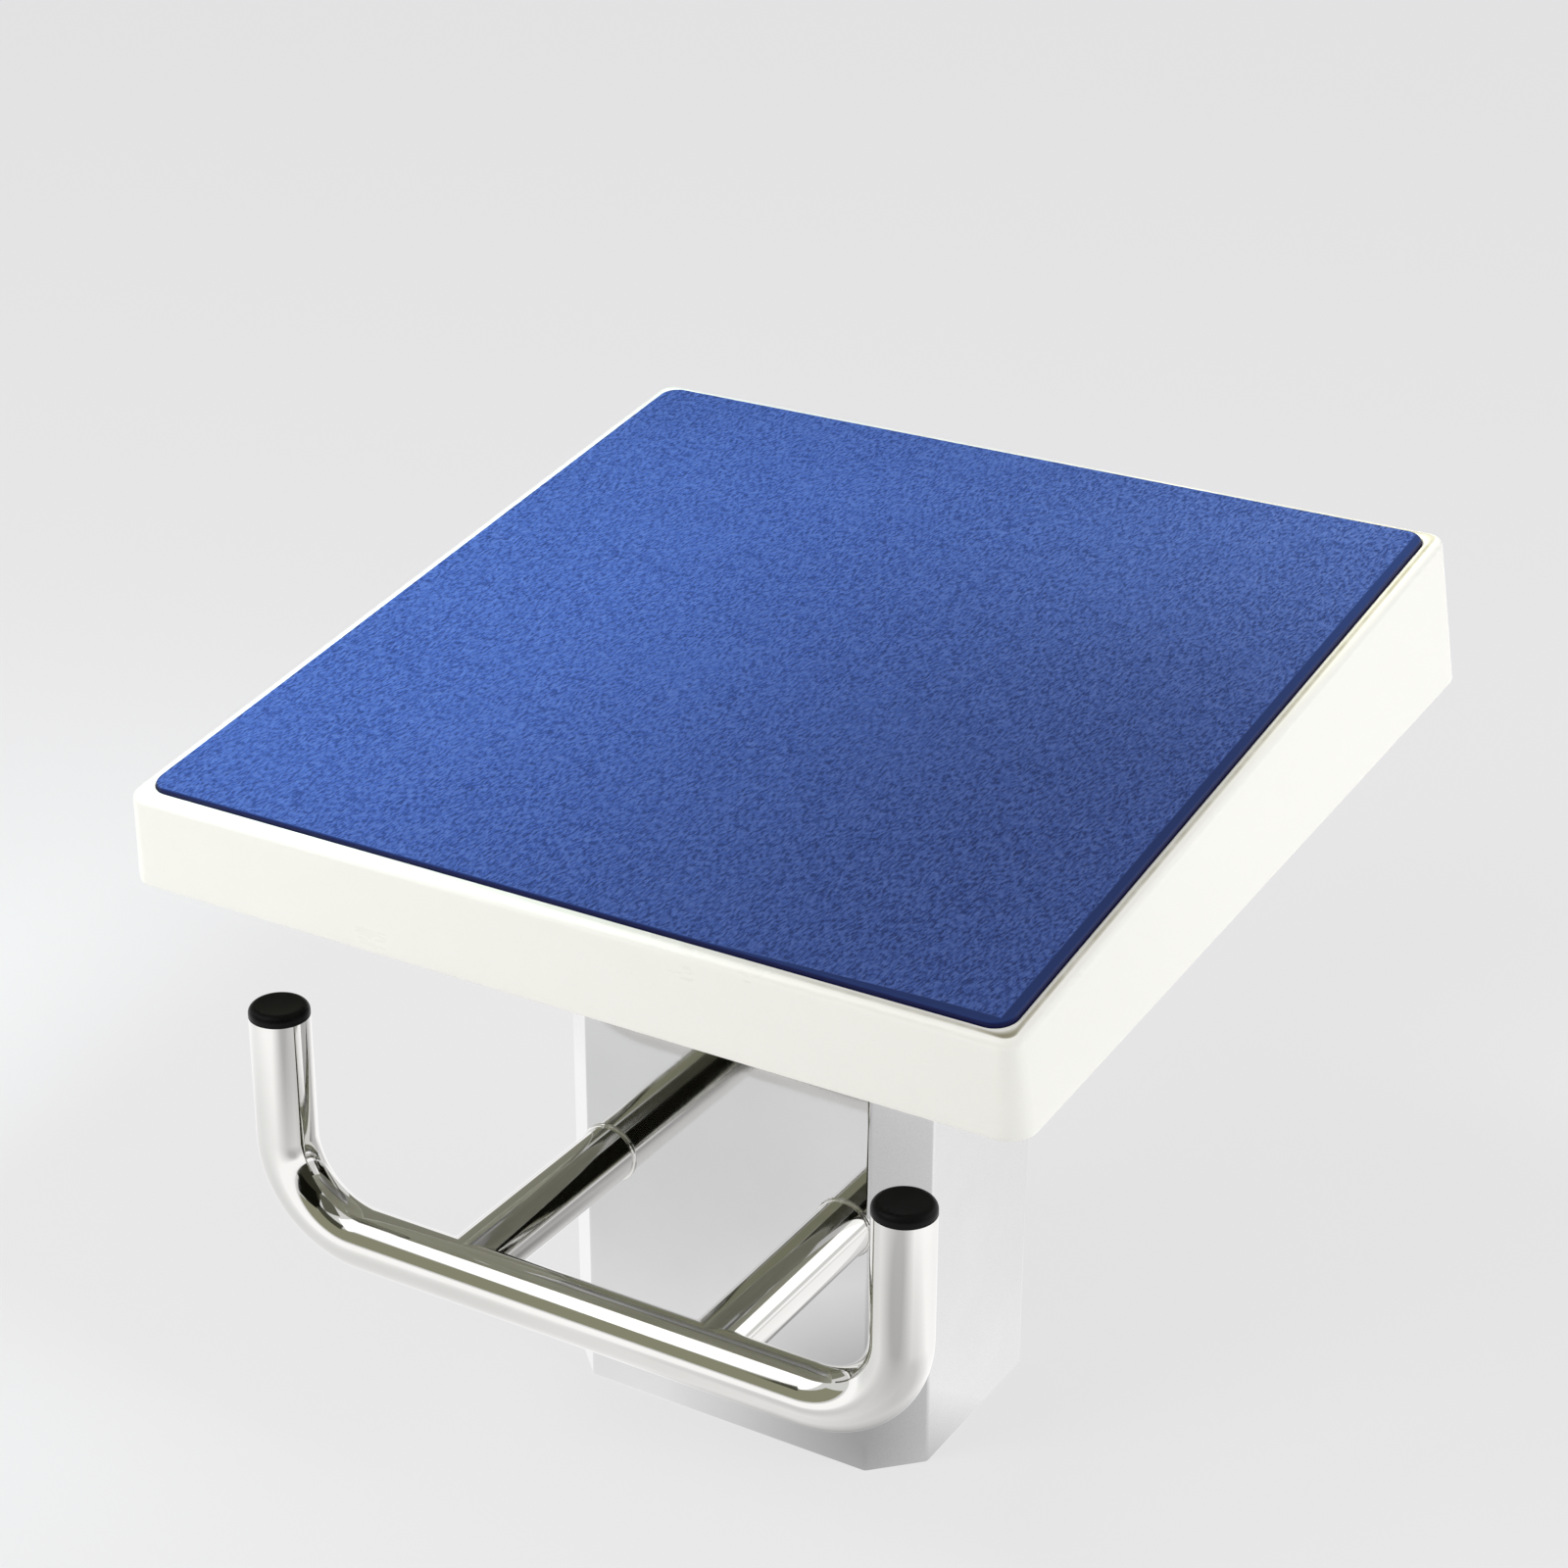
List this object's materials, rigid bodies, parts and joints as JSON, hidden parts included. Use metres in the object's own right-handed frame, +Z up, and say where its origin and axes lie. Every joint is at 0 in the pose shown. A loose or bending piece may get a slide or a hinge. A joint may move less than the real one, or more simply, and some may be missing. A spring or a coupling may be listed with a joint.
{
  "type": "swimming starting block",
  "caption": "Pool starting block: sloping wedge platform with a non-slip mat on a boxed steel column, with a U-shaped backstroke handle facing the water.",
  "frame": {"origin": "centre of the column's foot, on the deck", "axes": "+Z up, -Y towards the water, +X to the right as seen from the water"},
  "size_m": [0.5168, 0.5255, 0.4641],
  "materials": {
    "shell_gelcoat": "white gelcoat on glass-fibre laminate, slight orange peel",
    "mat_rubber": "blue mat embossed like leather, smooth darker border",
    "panel_laminate": "white laminate panel",
    "rib_laminate": "raw glass-fibre laminate",
    "plate_steel": "pickled stainless plate",
    "fastener_steel": "plain stainless fasteners",
    "gasket_rubber": "black sheet rubber",
    "column_steel": "fine polished stainless sheet",
    "polished_steel": "mirror-polished stainless tube",
    "cap_plastic": "black moulded plastic"
  },
  "bodies": {
    "root": {"platform_shell": "shell_gelcoat", "nonslip_mat": "mat_rubber", "base_panel": "panel_laminate", "panel_screws": "fastener_steel", "stringer_left": "rib_laminate", "stringer_right": "rib_laminate", "front_web": "rib_laminate", "rear_web": "rib_laminate", "mounting_plate": "plate_steel", "plate_nuts": "fastener_steel", "platform_bolts": "fastener_steel", "platform_washers": "fastener_steel", "head_gasket": "gasket_rubber", "head_plate": "plate_steel", "head_gussets": "plate_steel", "column_shell": "column_steel", "base_plate": "plate_steel", "base_gussets": "plate_steel", "handle_backing_plate": "plate_steel", "handle_bar": "polished_steel", "arm_left": "polished_steel", "arm_right": "polished_steel", "end_cap_left": "cap_plastic", "end_cap_right": "cap_plastic"}
  },
  "joints": []
}
